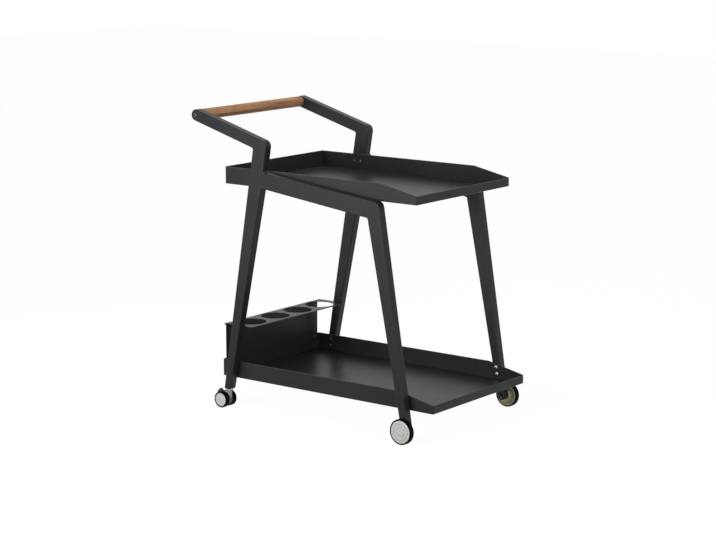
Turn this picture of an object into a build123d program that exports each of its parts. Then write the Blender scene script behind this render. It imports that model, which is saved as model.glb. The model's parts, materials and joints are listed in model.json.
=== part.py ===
"""Serving cart: two tapered side frames, two folded sheet trays, a bottle rack and a wooden push bar.

Millimetres. X points forwards, Y to the left, Z up, and the floor is at Z = 0.
"""
import os
from math import cos, radians, sin, tan

from build123d import *

# Trays, folded from sheet
tray_width = 468.0
sheet = 2.0
tray_wall = 52.0
tray_lip = 26.0
tray_slope = 125.0
tray_corner = 3.5
tray_bend = 3.0
rim_round = 0.8
upper_tray_rear = -330.0
upper_tray_length = 707.0
upper_tray_height = 683.5
lower_tray_rear = -347.0
lower_tray_length = 785.0
lower_tray_height = 91.5

# Side frames, tapered tube
frame_depth = 28.0
frame_wall = 2.0
edge_round = 3.5
inside_corner = 6.0
rail_corner = 20.0
bend_corner = 20.0
solid_end = 30.0
foot_corner_extra = 0.5
arm_end_share = 0.48
front_foot_share = 0.47
rear_foot_x = -309.0
rear_foot_width = 23.0
rear_leg_back_lean = 9.34
rear_leg_front_lean = 11.68
post_width = 49.0
front_axle_x = 356.0
front_foot_width = 23.0
front_leg_back_lean = 11.45
front_leg_front_lean = 9.16
rail_rear_drop = 3.0
rail_front_rise = 1.0
rail_rear_depth = 48.0
rail_front_depth = 53.0

# Push bar and its arms
bar_x = -420.5
bar_rise = 201.5
bar_diameter = 33.0
bar_end_round = 1.5
arm_slope = 16.2
arm_height = 34.5
bar_bolt_diameter = 8.0
bar_bolt_head = 14.0
bar_bolt_head_height = 3.6
bar_insert_diameter = 13.0
bar_insert_length = 30.0
bar_thread_length = 24.0

# Bottle rack, one bent sheet
rack_rise = 163.0
rack_depth = 110.0
rack_side_gap = 3.0
rack_panel_inset = 7.0
rack_bend = 6.0
rack_corner = 10.0
rack_floor_gap = 3.0
bottle_hole = 90.0
bottle_web = 20.0
bottle_end_margin = 12.0

# Screws, rivet nuts and hexagon nuts
screw_diameter = 6.0
screw_head = 11.0
screw_head_height = 3.2
screw_dome_share = 0.7
screw_socket = 4.0
screw_socket_depth = 1.8
screw_reach = 12.0
rivet_nut_diameter = 9.0
rivet_nut_bulge = 11.0
rivet_nut_bulge_length = 4.0
rivet_nut_length = 15.0
hex_nut_width = 10.0
hex_nut_height = 5.0
hole_clearance = 0.3
lower_screw_rise = 26.0
lower_screw_pitch = 20.0
upper_screw_rise = 28.5
upper_screw_pitch = 23.0
rack_screw_drop = 8.0
rack_screw_inset = 12.0

# Brackets under the front of the upper tray
support_setback = 48.0
support_length = 40.0
support_reach = 30.0
support_drop = 32.0
stud_inset = 20.0
stud_length = 14.0

# Front wheels, on fixed axles outside the legs
front_wheel_diameter = 75.0
front_wheel_width = 16.5
front_tyre = 4.5
front_tyre_round = 2.0
front_rim = 4.5
front_web = 4.0
front_boss_diameter = 24.0
front_washer = 2.0
front_washer_diameter = 18.0
front_bush = 2.0
front_cover = 1.6
front_cover_cap_diameter = 27.0
front_cover_cap_rise = 1.2
front_cover_groove_radius = 24.5
front_cover_groove = 0.6
axle_diameter = 8.0
axle_head = 13.0
axle_head_height = 4.0
axle_nut_width = 13.0
axle_nut_height = 7.0
run_gap = 0.3
bearing_gap = 0.05

# Rear casters, twin wheels on a swivel
rear_wheel_diameter = 50.0
rear_wheel_width = 15.0
rear_tyre = 5.0
rear_tyre_round = 2.0
rear_dish = 5.0
rear_rim = 3.0
rear_cap_diameter = 17.0
rear_cap_rise = 0.8
rear_axle_diameter = 6.0
rear_axle_cover = 3.0
caster_gap = 17.0
caster_trail = 18.0
caster_headroom = 8.6
caster_web = 13.0
caster_boss_diameter = 13.0
caster_cap_diameter = 20.0
caster_cap_height = 3.6
caster_axle_boss = 18.0
stem_diameter = 10.0
stem_length = 24.0
stem_flange = 2.0
stem_flange_diameter = 19.0
pin_diameter = 8.0
pin_length = 24.0

# Brake pedals on the casters, their peak and tail measured from the pivot
pedal_pivot_back = 11.0
pedal_pivot_up = 14.0
pedal_peak_back = 6.6
pedal_peak_up = 16.6
pedal_peak_round = 3.0
pedal_tail_back = 19.5
pedal_tail_up = 3.5
pedal_tail_round = 1.5
pedal_nose_up = 7.0
pedal_blade = 8.0
pedal_edge_round = 1.0
pedal_eye_diameter = 8.0
pedal_pin_diameter = 3.0
pedal_slot_gap = 0.3

# Places worked out from the sizes above
inner_face = tray_width / 2
outer_face = inner_face + frame_depth
mid_frame = inner_face + frame_depth / 2
front_axle_z = front_wheel_diameter / 2
rear_axle_z = rear_wheel_diameter / 2
rear_foot_z = rear_wheel_diameter + caster_headroom
bar_z = upper_tray_height + bar_rise
rack_top = lower_tray_height + rack_rise
stem_x = rear_foot_x
caster_axle_x = stem_x - caster_trail
far = 2000.0  # longer than anything on the cart, for cutting tools


def save(name, *solids):
    """Write one node, either a single solid or a group of separate solids."""
    shape = solids[0] if len(solids) == 1 else Compound(children=list(solids))
    export_step(shape, f"parts/{name}.step")


def save_pair(name, left):
    """Write a left piece and its mirror image on the right."""
    save(f"{name}_left", left)
    save(f"{name}_right", mirror(left, about=Plane.XZ))


def save_both(name, lefts):
    """Write one node that holds the pieces of both sides."""
    save(name, *lefts, *[mirror(piece, about=Plane.XZ) for piece in lefts])


def flat(points, radii=0.0):
    """A face in the XZ plane through points of (x, z), with rounded corners."""
    path = FilletPolyline(*[(x, 0, z) for x, z in points], radius=radii, close=True)
    return make_face(path)


def slab(face, start, stop):
    """The solid that a face in the XZ plane sweeps from Y = start to Y = stop."""
    return Pos(Y=start) * extrude(face, stop - start, dir=(0, 1, 0))


def rod(diameter, start, stop, x, z):
    """A round bar along Y."""
    return Pos(x, (start + stop) / 2, z) * Rot(X=90) * Cylinder(diameter / 2, stop - start)


def turned(profile, x, start, z):
    """A turned piece about a Y axis: profile points are (radius, distance outwards from start)."""
    face = make_face(Polyline(*[(x + radius, start + out, z) for radius, out in profile], close=True))
    return revolve(face, Axis((x, start, z), (0, 1, 0)))


def round_edges(solid, radius):
    """The circular edges of a solid that have one radius."""
    return [e for e in solid.edges().filter_by(GeomType.CIRCLE) if abs(e.radius - radius) < 1e-6]


def along(line, z):
    """The x of a line, given as (x, z, x per z), at a height."""
    return line[0] + (z - line[1]) * line[2]


def crossing(line, point, slope):
    """Where a steep line meets the shallow line through a point with a slope of z per x."""
    x = (line[0] + (point[1] - point[0] * slope - line[1]) * line[2]) / (1 - slope * line[2])
    return x, point[1] + (x - point[0]) * slope


# Edges and corners of the side frame, seen from the side
rear_back = (rear_foot_x - rear_foot_width / 2, rear_foot_z, tan(radians(rear_leg_back_lean)))
rear_front = (rear_foot_x + rear_foot_width / 2, rear_foot_z, tan(radians(rear_leg_front_lean)))
post_front = (rear_back[0] + post_width, rear_foot_z, rear_back[2])
front_back = (front_axle_x - front_foot_width / 2, front_axle_z, -tan(radians(front_leg_back_lean)))
front_front = (front_axle_x + front_foot_width / 2, front_axle_z, -tan(radians(front_leg_front_lean)))
arm_run = (cos(radians(arm_slope)), -sin(radians(arm_slope)))
arm_up = (-arm_run[1], arm_run[0])
arm_fall = arm_run[1] / arm_run[0]


def arm_point(forward, up):
    """A point measured from the push bar's centre along the arm and square to it."""
    return tuple(c + forward * r + up * u for c, r, u in zip((bar_x, bar_z), arm_run, arm_up))


rail_rear_z = upper_tray_height + tray_wall - rail_rear_drop
rail_front_z = upper_tray_height + rail_front_rise
rail_rear_top = (along(post_front, rail_rear_z), rail_rear_z)
rail_front_top = (along(front_front, rail_front_z), rail_front_z)
rail_rear_low = (rail_rear_top[0], rail_rear_z - rail_rear_depth)
rail_front_low = (rail_front_top[0], rail_front_z - rail_front_depth)
rail_low_slope = (rail_front_low[1] - rail_rear_low[1]) / (rail_front_low[0] - rail_rear_low[0])
rail_rear_bottom = crossing(rear_front, rail_rear_low, rail_low_slope)
rail_front_bottom = crossing(front_back, rail_rear_low, rail_low_slope)
bend_inside = crossing(rear_back, arm_point(0, -arm_height / 2), arm_fall)
bend_outside = crossing(post_front, arm_point(0, arm_height / 2), arm_fall)
foot_fall = tan(radians((front_leg_back_lean + front_leg_front_lean) / 2))
foot_end = (front_axle_x + front_foot_width / 2 * foot_fall, front_axle_z - front_foot_width / 2)
front_foot_front = crossing(front_front, foot_end, foot_fall)
front_foot_back = crossing(front_back, foot_end, foot_fall)


def side_outline():
    """The whole side frame as one face, every corner rounded."""
    foot_corner = edge_round + foot_corner_extra
    arm_end = arm_end_share * arm_height
    front_foot = front_foot_share * front_foot_width
    corners = [
        ((along(rear_back, rear_foot_z), rear_foot_z), foot_corner),
        (bend_inside, inside_corner),
        (arm_point(-arm_height / 2, -arm_height / 2), arm_end),
        (arm_point(-arm_height / 2, arm_height / 2), arm_end),
        (bend_outside, bend_corner),
        (rail_rear_top, inside_corner),
        (rail_front_top, rail_corner),
        (front_foot_front, front_foot),
        (front_foot_back, front_foot),
        (rail_front_bottom, inside_corner),
        (rail_rear_bottom, inside_corner),
        ((along(rear_front, rear_foot_z), rear_foot_z), foot_corner),
    ]
    return flat([point for point, _ in corners], [radius for _, radius in corners])


def side_frame():
    """The left side frame in one piece: rounded outside, hollow inside, solid at its three ends."""
    outline = side_outline()
    frame = slab(outline, inner_face, outer_face)
    rims = [e for e in frame.edges() if abs(abs(e.center().Y - mid_frame) - frame_depth / 2) < 1e-4]
    frame = fillet(rims, edge_round)
    hollow = slab(offset(outline, -frame_wall), inner_face + frame_wall, outer_face - frame_wall)
    hollow -= Pos(rear_foot_x, mid_frame, rear_foot_z) * Box(far / 4, far, 2 * solid_end)
    hollow -= Pos(front_axle_x, mid_frame, front_axle_z) * Box(far / 4, far, 2 * solid_end)
    hollow -= Pos(bar_x, mid_frame, bar_z) * Box(2 * solid_end, far, far / 4)
    return frame - hollow


def side_members():
    """The side frame cut at its welded joints: arm, rear leg, rail and front leg."""
    frame = side_frame()
    (ax, az), (bx, bz) = bend_inside, bend_outside
    bend_side = flat([(ax - (bx - ax) * 9, az - (bz - az) * 9), (bx + (bx - ax) * 2, bz + (bz - az) * 2),
                      (bx, far), (-far, far)])
    (ax, az), (bx, bz) = rail_rear_bottom, rail_rear_top
    rail_side = flat([(ax + rail_rear_depth, az - far), (ax, az), (bx, bz),
                      (bx + rail_rear_depth, bz + rail_rear_depth), (far, bz + rail_rear_depth), (far, -far)])
    (ax, az), (bx, bz) = rail_front_bottom, rail_front_top
    leg_side = flat([(ax - (bx - ax) * 2, az - (bz - az) * 2), (bx + (bx - ax), bz + (bz - az)), (far, bz),
                     (far, -far), (ax, -far)])
    bend_tool, rail_tool, leg_tool = [slab(face, 0, far) for face in (bend_side, rail_side, leg_side)]
    arm = frame & bend_tool
    lower = frame - bend_tool
    rail_and_leg = lower & rail_tool
    return arm, lower - rail_tool, rail_and_leg - leg_tool, rail_and_leg & leg_tool


# Where the fasteners go, on the left side
def leg_screw_points(back, front, z):
    """Two screw centres up the middle of a leg."""
    heights = (z - lower_screw_pitch / 2, z + lower_screw_pitch / 2)
    return [((along(back, h) + along(front, h)) / 2, h) for h in heights]


lower_screw_z = lower_tray_height + lower_screw_rise
front_screws = leg_screw_points(front_back, front_front, lower_screw_z)
rear_screws = leg_screw_points(rear_back, rear_front, lower_screw_z)
upper_screw_z = upper_tray_height + upper_screw_rise
post_middle = along(rear_back, upper_screw_z) + post_width / 2
upper_screws = [(post_middle + step * upper_screw_pitch / 2, upper_screw_z) for step in (-1, 1)]
support_x = rail_front_top[0] - support_setback
stud_y = inner_face - support_reach + stud_inset / 2
rack_panel_half = inner_face - sheet - rack_side_gap - rack_panel_inset
rack_screw_y = rack_panel_half - rack_screw_inset
rack_screw_z = lower_tray_height + tray_wall - rack_screw_drop
rack_back = lower_tray_rear + sheet


def button_screw(diameter, head, head_height, length):
    """A button head screw with its head above Z = 0 and its shank below, and a hexagon socket."""
    screw = Cylinder(head / 2, head_height, align=(Align.CENTER, Align.CENTER, Align.MIN))
    screw = fillet(screw.edges().group_by(Axis.Z)[-1], screw_dome_share * head_height)
    socket = RegularPolygon(screw_socket / 2, 6, major_radius=False)
    screw -= Pos(Z=head_height - screw_socket_depth) * extrude(socket, head_height)
    return screw + Cylinder(diameter / 2, length, align=(Align.CENTER, Align.CENTER, Align.MAX))


def hex_nut(width, height, bore):
    """A hexagon nut standing on Z = 0."""
    return extrude(RegularPolygon(width / 2, 6, major_radius=False) - Circle(bore / 2), height)


def rivet_nut(x, z, bore):
    """A rivet nut set flush into the inner wall of a left leg."""
    wide, slim = rivet_nut_bulge / 2, rivet_nut_diameter / 2
    middle, end = frame_wall + rivet_nut_bulge_length, rivet_nut_length
    return turned([(bore / 2, 0), (slim, 0), (slim, frame_wall), (wide, frame_wall), (wide, middle),
                   (slim, middle), (slim, end), (bore / 2, end)], x, inner_face, z)


def tray(rear, length, height):
    """An open tray with rounded folds, side walls that slope down to a low front lip."""
    def block(inset, corner, bend):
        size = (length - 2 * inset, tray_width - 2 * inset, tray_wall)
        box = Box(*size, align=(Align.CENTER, Align.CENTER, Align.MIN))
        box = Pos(rear + length / 2, 0, height + inset) * box
        box = fillet(box.edges().filter_by(Axis.Z), corner)
        return fillet(box.edges().group_by(Axis.Z)[0], bend)

    body = block(0, tray_corner, tray_bend) - block(sheet, tray_corner - sheet, tray_bend - sheet)
    front, top = rear + length, height + tray_wall
    lip, over, past = height + tray_lip, top + sheet, front + sheet
    start = front - tray_slope
    wedge = flat([(start, top), (front, lip), (past, lip), (past, over), (start, over)])
    body -= slab(wedge, -tray_width, tray_width)
    upward = [f for f in body.faces() if f.normal_at().Z > 0.5 and f.center().Z > height + tray_lip / 2]
    rims = [e for f in upward for e in f.edges()]
    outer = [e for e in rims if sum(e.is_same(other) for other in rims) == 1]
    return fillet(outer, rim_round)


def make_trays():
    """Both trays, drilled for their screws, with welded studs under the front of the upper one."""
    wide = screw_diameter + 2 * hole_clearance
    through = outer_face
    upper = tray(upper_tray_rear, upper_tray_length, upper_tray_height)
    for x, z in upper_screws:
        upper -= rod(wide, -through, through, x, z)
    for side in (-1, 1):
        stud = Cylinder(screw_diameter / 2, stud_length, align=(Align.CENTER, Align.CENTER, Align.MAX))
        upper += Pos(support_x, side * stud_y, upper_tray_height) * stud
    lower = tray(lower_tray_rear, lower_tray_length, lower_tray_height)
    for x, z in front_screws + rear_screws:
        lower -= rod(wide, -through, through, x, z)
    for side in (-1, 1):
        hole = Rot(Y=90) * Cylinder(wide / 2, 4 * sheet)
        lower -= Pos(lower_tray_rear, side * rack_screw_y, rack_screw_z) * hole
    save("upper_tray", upper)
    save("lower_tray", lower)


def make_side_frames():
    """Arms, rear legs, rails and front legs, bored for what they hold."""
    arm, rear_leg, rail, front_leg = side_members()
    arm -= rod(bar_bolt_diameter + 2 * hole_clearance, 0, far, bar_x, bar_z)
    stem_hole = Cylinder(stem_diameter / 2, stem_length, align=(Align.CENTER, Align.CENTER, Align.MIN))
    rear_leg -= Pos(stem_x, mid_frame, rear_foot_z) * stem_hole
    front_leg -= rod(axle_diameter, 0, far, front_axle_x, front_axle_z)
    for x, z in rear_screws + upper_screws:
        rear_leg -= rivet_nut(x, z, 0)
    for x, z in front_screws:
        front_leg -= rivet_nut(x, z, 0)
    save_pair("handle_arm", arm)
    save_pair("rear_leg", rear_leg)
    save_pair("top_rail", rail)
    save_pair("front_leg", front_leg)


def make_push_bar():
    """The wooden bar, a threaded insert in each end and a bolt through each arm."""
    bar = rod(bar_diameter, -inner_face, inner_face, bar_x, bar_z)
    bar = fillet(bar.edges().filter_by(GeomType.CIRCLE), bar_end_round)
    insert = rod(bar_insert_diameter, inner_face - bar_insert_length, inner_face, bar_x, bar_z)
    bar -= insert
    bar -= mirror(insert, about=Plane.XZ)
    insert -= rod(bar_bolt_diameter, 0, far, bar_x, bar_z)
    length = frame_depth + bar_thread_length
    bolt = button_screw(bar_bolt_diameter, bar_bolt_head, bar_bolt_head_height, length)
    save("push_bar", bar)
    save_both("push_bar_inserts", [insert])
    save_both("push_bar_bolts", [Pos(bar_x, outer_face, bar_z) * Rot(X=-90) * bolt])


def make_tray_fasteners():
    """Screws through the tray walls into rivet nuts in the legs."""
    screw = Rot(X=90) * button_screw(screw_diameter, screw_head, screw_head_height, sheet + screw_reach)
    for name, points in (("upper_tray", upper_screws), ("lower_tray_front", front_screws),
                         ("lower_tray_rear", rear_screws)):
        save_both(f"{name}_screws", [Pos(x, inner_face - sheet, z) * screw for x, z in points])
        save_both(f"{name}_rivet_nuts", [rivet_nut(x, z, screw_diameter) for x, z in points])


def make_tray_supports():
    """Angle brackets on the rails that carry the front of the upper tray, and the nuts on its studs."""
    low, high = upper_tray_height - support_drop, upper_tray_height
    leg = Pos(support_x, inner_face - sheet / 2, (low + high) / 2) * Box(support_length, sheet, support_drop)
    shelf_size = (support_length, support_reach, sheet)
    shelf = Pos(support_x, inner_face - support_reach / 2, high - sheet / 2) * Box(*shelf_size)
    hole = Pos(support_x, stud_y, high) * Cylinder(screw_diameter / 2 + hole_clearance, 4 * sheet)
    nut = hex_nut(hex_nut_width, hex_nut_height, screw_diameter)
    nut = Pos(support_x, stud_y, high - sheet - hex_nut_height) * nut
    save_pair("tray_support", leg + shelf - hole)
    save_both("tray_support_nuts", [nut])


def make_bottle_rack():
    """A bent sheet with a back panel, a top plate and a row of bottle holes, screwed to the lower tray."""
    plate_half = rack_panel_half + rack_panel_inset
    foot = lower_tray_height + tray_bend + rack_floor_gap
    front = rack_back + rack_depth
    profile = [(rack_back, foot), (rack_back, rack_top), (front, rack_top), (front, rack_top - sheet),
               (rack_back + sheet, rack_top - sheet), (rack_back + sheet, foot)]
    rack = slab(flat(profile, [0, rack_bend, 0, 0, rack_bend - sheet, 0]), -plate_half, plate_half)
    trim_height = rack_top - rack_bend - foot
    for side in (-1, 1):
        trim = Box(4 * sheet, 2 * rack_panel_inset, trim_height)
        rack -= Pos(rack_back, side * plate_half, foot + trim_height / 2) * trim
        hole = Rot(Y=90) * Cylinder(screw_diameter / 2 + hole_clearance, 4 * sheet)
        rack -= Pos(rack_back, side * rack_screw_y, rack_screw_z) * hole
    front_edges = rack.edges().filter_by(Axis.Z).group_by(Axis.X)[-1]
    rack = fillet(front_edges, rack_corner)
    middle = rack_back + sheet + (rack_depth - sheet) / 2
    bottle_pitch = bottle_hole + bottle_web
    bottle_count = int((2 * plate_half - 2 * bottle_end_margin + bottle_web) // bottle_pitch)
    for number in range(bottle_count):
        y = (number - (bottle_count - 1) / 2) * bottle_pitch
        rack -= Pos(middle, y, rack_top) * Cylinder(bottle_hole / 2, 4 * sheet)
    length = 2 * sheet + hex_nut_height
    screw = Rot(Y=90) * button_screw(screw_diameter, screw_head, screw_head_height, length)
    nut = Rot(Y=-90) * hex_nut(hex_nut_width, hex_nut_height, screw_diameter)
    save("bottle_rack", rack)
    save_both("bottle_rack_screws", [Pos(rack_back + sheet, rack_screw_y, rack_screw_z) * screw])
    save_both("bottle_rack_nuts", [Pos(lower_tray_rear, rack_screw_y, rack_screw_z) * nut])


def make_front_wheels():
    """Fixed front wheels: axle bolt, washer and nut on the leg, and the turning hub, tyre, bush and cover."""
    x, z = front_axle_x, front_axle_z
    radius = front_wheel_diameter / 2
    seat = radius - front_tyre
    inside = front_washer + run_gap
    outside = inside + front_wheel_width
    cover_at = outside - front_cover
    head_at = cover_at - run_gap - axle_head_height
    boss_end = head_at - run_gap
    bore = axle_diameter / 2 + bearing_gap
    bush_radius = bore + front_bush
    boss = front_boss_diameter / 2
    bed = seat - front_rim
    web_at = boss_end - front_web
    hub = turned([(bush_radius, inside), (boss, inside), (boss, web_at), (bed, web_at), (bed, inside),
                  (seat, inside), (seat, cover_at), (bed, cover_at), (bed, boss_end), (bush_radius, boss_end)],
                 x, outer_face, z)
    bush = turned([(bore, inside), (bush_radius, inside), (bush_radius, boss_end), (bore, boss_end)],
                  x, outer_face, z)
    tyre = turned([(seat, inside), (radius, inside), (radius, outside), (seat, outside)], x, outer_face, z)
    tyre = fillet(round_edges(tyre, radius), front_tyre_round)
    cap, peak = front_cover_cap_diameter / 2, outside + front_cover_cap_rise
    groove, depth = front_cover_groove_radius, front_cover_groove
    cover = turned([(0, cover_at), (seat, cover_at), (seat, outside), (groove + depth, outside),
                    (groove, outside - depth), (groove - depth, outside), (cap, outside),
                    (cap - front_cover_cap_rise, peak), (0, peak)], x, outer_face, z)
    axle = rod(axle_diameter, inner_face - axle_nut_height, outer_face + head_at, x, z)
    axle += rod(axle_head, outer_face + head_at, outer_face + head_at + axle_head_height, x, z)
    washer = rod(front_washer_diameter, outer_face, outer_face + front_washer, x, z)
    washer -= rod(axle_diameter, outer_face, outer_face + front_washer, x, z)
    nut = Pos(x, inner_face, z) * Rot(X=90) * hex_nut(axle_nut_width, axle_nut_height, axle_diameter)
    save_pair("front_wheel_hub", hub)
    save_pair("front_wheel_bush", bush)
    save_pair("front_wheel_tyre", tyre)
    save_pair("front_wheel_cover", cover)
    save_pair("front_axle", axle)
    save_both("front_axle_washers", [washer])
    save_both("front_axle_nuts", [nut])


def caster_wheel(side):
    """One wheel of a twin caster and its tyre: side is -1 for the inner wheel and 1 for the outer one."""
    radius = rear_wheel_diameter / 2
    seat = radius - rear_tyre
    bore = rear_axle_diameter / 2 + bearing_gap
    blind = rear_wheel_width - rear_axle_cover
    cap = rear_cap_diameter / 2
    rim, wide = seat - rear_rim, rear_wheel_width
    face = wide - rear_cap_rise
    place = (caster_axle_x, caster_gap / 2, rear_axle_z)
    wheel = turned([(0, blind), (bore, blind), (bore, 0), (cap, 0), (cap, rear_dish), (rim, rear_dish),
                    (rim, 0), (seat, 0), (seat, wide), (rim, wide), (rim, face), (cap, face), (cap, wide),
                    (0, wide)], *place)
    tyre = turned([(seat, 0), (radius, 0), (radius, wide), (seat, wide)], *place)
    tyre = fillet(round_edges(tyre, radius), rear_tyre_round)
    pieces = [wheel, tyre] if side > 0 else [mirror(piece, about=Plane.XZ) for piece in (wheel, tyre)]
    return [Pos(Y=mid_frame) * piece for piece in pieces]


def make_casters():
    """Swivel casters under the rear legs: fixed stem, housing, axle, two wheels and a brake pedal."""
    pivot = (caster_axle_x - pedal_pivot_back, rear_axle_z + pedal_pivot_up)
    top = rear_foot_z - stem_flange - run_gap
    bottom_up = (Align.CENTER, Align.CENTER, Align.MIN)
    top_down = (Align.CENTER, Align.CENTER, Align.MAX)

    stem = Pos(Z=rear_foot_z) * Cylinder(stem_diameter / 2, stem_length, align=bottom_up)
    stem += Pos(Z=rear_foot_z) * Cylinder(stem_flange_diameter / 2, stem_flange, align=top_down)
    stem += Pos(Z=rear_foot_z) * Cylinder(pin_diameter / 2, pin_length + stem_flange, align=top_down)
    save_pair("caster_stem", Pos(stem_x, mid_frame, 0) * stem)

    socket_low = top - pin_length - stem_flange
    boss = Pos(stem_x, 0, socket_low) * Cylinder(caster_boss_diameter / 2, top - socket_low, align=bottom_up)
    cap = Pos(stem_x, 0, top) * Cylinder(caster_cap_diameter / 2, caster_cap_height, align=top_down)
    half_boss, eye = caster_axle_boss / 2, pedal_eye_diameter / 2
    web = flat([(stem_x + half_boss / 2, socket_low), (stem_x + half_boss / 2, top - caster_cap_height / 2),
                (stem_x - half_boss, top - caster_cap_height / 2), (pivot[0] + eye, pivot[1] + eye),
                (pivot[0] - eye, pivot[1] + eye), (pivot[0] - eye, pivot[1] - eye),
                (caster_axle_x - half_boss, rear_axle_z), (caster_axle_x, rear_axle_z - half_boss),
                (caster_axle_x + half_boss, rear_axle_z - half_boss / 2)])
    housing = slab(web, -caster_web / 2, caster_web / 2) + boss + cap
    housing += rod(caster_axle_boss, -caster_web / 2, caster_web / 2, caster_axle_x, rear_axle_z)
    socket = Cylinder(pin_diameter / 2 + bearing_gap, pin_length + run_gap, align=top_down)
    housing -= Pos(stem_x, 0, top) * socket
    housing -= rod(rear_axle_diameter, -far, far, caster_axle_x, rear_axle_z)
    slot_half = pedal_blade / 2 + pedal_slot_gap
    slot = slab(flat([(pivot[0] - far / 8, pivot[1] - 2 * eye), (pivot[0] + 1.5 * eye, pivot[1] - 2 * eye),
                      (pivot[0] + 1.5 * eye, pivot[1] + far / 8), (pivot[0] - far / 8, pivot[1] + far / 8)]),
                -slot_half, slot_half)
    housing -= slot
    housing -= rod(pedal_pin_diameter, -far, far, *pivot)
    save_pair("caster_housing", Pos(Y=mid_frame) * housing)

    half = caster_gap / 2 + rear_wheel_width - rear_axle_cover - run_gap
    axle = rod(rear_axle_diameter, mid_frame - half, mid_frame + half, caster_axle_x, rear_axle_z)
    save_pair("caster_axle", axle)
    for name, side in (("outer", 1), ("inner", -1)):
        wheel, tyre = caster_wheel(side)
        save_pair(f"caster_{name}_wheel", wheel)
        save_pair(f"caster_{name}_tyre", tyre)

    fin = flat([(eye, 0), (eye, pedal_nose_up), (-pedal_peak_back, pedal_peak_up),
                (-pedal_tail_back, pedal_tail_up), (0, -eye)],
               [0, pedal_tail_round, pedal_peak_round, pedal_tail_round, 0])
    pedal = slab(fin, -pedal_blade / 2, pedal_blade / 2)
    pedal += rod(pedal_eye_diameter, -pedal_blade / 2, pedal_blade / 2, 0, 0)
    pedal = fillet(pedal.edges().filter_by_position(Axis.Y, pedal_blade / 2, pedal_blade / 2)
                   + pedal.edges().filter_by_position(Axis.Y, -pedal_blade / 2, -pedal_blade / 2),
                   pedal_edge_round)
    pedal -= rod(pedal_pin_diameter + 2 * bearing_gap, -far, far, 0, 0)
    save_pair("brake_pedal", Pos(pivot[0], mid_frame, pivot[1]) * pedal)
    pin = rod(pedal_pin_diameter, mid_frame - caster_web / 2, mid_frame + caster_web / 2, *pivot)
    save_pair("brake_pedal_pin", pin)


os.makedirs("parts", exist_ok=True)
make_side_frames()
make_push_bar()
make_trays()
make_tray_fasteners()
make_tray_supports()
make_bottle_rack()
make_front_wheels()
make_casters()
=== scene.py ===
import json
import math

import bmesh
import bpy
from bpy.props import FloatProperty, FloatVectorProperty, IntProperty, PointerProperty
from mathutils import Matrix, Vector


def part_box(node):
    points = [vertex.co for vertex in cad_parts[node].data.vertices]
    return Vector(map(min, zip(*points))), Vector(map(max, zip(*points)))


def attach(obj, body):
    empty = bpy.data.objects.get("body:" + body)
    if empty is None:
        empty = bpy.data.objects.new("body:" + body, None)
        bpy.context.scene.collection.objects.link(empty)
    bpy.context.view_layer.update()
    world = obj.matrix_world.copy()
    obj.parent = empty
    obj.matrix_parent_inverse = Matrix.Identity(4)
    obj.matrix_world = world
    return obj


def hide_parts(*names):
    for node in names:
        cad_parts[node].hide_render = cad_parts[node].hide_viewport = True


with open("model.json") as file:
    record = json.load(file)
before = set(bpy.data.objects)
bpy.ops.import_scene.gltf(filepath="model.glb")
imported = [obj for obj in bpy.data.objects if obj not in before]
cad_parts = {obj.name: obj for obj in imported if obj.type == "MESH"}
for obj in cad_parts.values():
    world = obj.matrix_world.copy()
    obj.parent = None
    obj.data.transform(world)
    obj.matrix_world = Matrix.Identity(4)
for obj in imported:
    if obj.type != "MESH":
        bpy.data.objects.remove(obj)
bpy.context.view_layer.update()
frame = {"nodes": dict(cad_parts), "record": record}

bl_info = {
    "name": "Serving Cart Looks",
    "version": (1, 0, 0),
    "blender": (4, 5, 0),
    "location": "View3D > Sidebar > Serving Cart",
    "description": "Dresses the serving cart: powder coat, teak bar, wheels, casters and a white studio",
    "category": "Object",
}

NODES = frame["nodes"]
SLOTS = {row["node"]: row["material_slot"] for row in frame["record"]["subparts"]}
SIDES = {"left": 1.0, "right": -1.0}

# Points nearer to each other than this, in metres, are one point
HAIR = 1e-6
# Edges that turn by more than this stay sharp
SHARP = math.radians(38)
# How far the middle of a rounded corner stands in from the sharp one, as a share of the rounding
EASE = 0.3
# Index of a piece's second material, which paints shade into screw sockets and the beds of disc lines
PAINTED_SHADE_INDEX = 1
# Section of a screw head's dome, as shares of its radius and of its height
DOME = ((1.0, 0.0), (1.0, 0.3), (0.96, 0.52), (0.86, 0.76), (0.70, 0.93), (0.52, 1.0))
# Places of a brake pedal's ridges, as shares of the way from its tail to its peak
RIDGES = (0.28, 0.46, 0.64)
# Specks for each metre of moulded plastic, and their depth in metres
MOULD_GRAIN = 900.0
MOULD_DEPTH = 0.0002
# Half the side of the studio's floor, in metres
FLOOR_REACH = 12.0
# Width of the camera's sensor, in millimetres
SENSOR_WIDTH = 36.0


def linear(red, green, blue):
    """A colour given as it looks on screen, 0 to 255, as the linear values that shaders use."""
    shares = [c / 255 for c in (red, green, blue)]
    return tuple(c / 12.92 if c <= 0.04045 else ((c + 0.055) / 1.055) ** 2.4 for c in shares)


def colour(name, description, red, green, blue):
    """A colour that the user can change."""
    return FloatVectorProperty(name=name, description=description, subtype="COLOR", size=3,
                               min=0.0, max=1.0, default=linear(red, green, blue))


def length(name, description, millimetres):
    """A size that the user can change."""
    return FloatProperty(name=name, description=description, subtype="DISTANCE", unit="LENGTH",
                         min=0.0, default=millimetres / 1000)


def share(name, description, value):
    """A share from nothing to all that the user can change."""
    return FloatProperty(name=name, description=description, subtype="FACTOR",
                         min=0.0, max=1.0, default=value)


def angle(name, description, degrees):
    """An angle that the user can change."""
    return FloatProperty(name=name, description=description, subtype="ANGLE",
                         default=math.radians(degrees))


def watts(name, description, power):
    """A lamp's power that the user can change."""
    return FloatProperty(name=name, description=description, unit="POWER", min=0.0, default=power)


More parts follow.
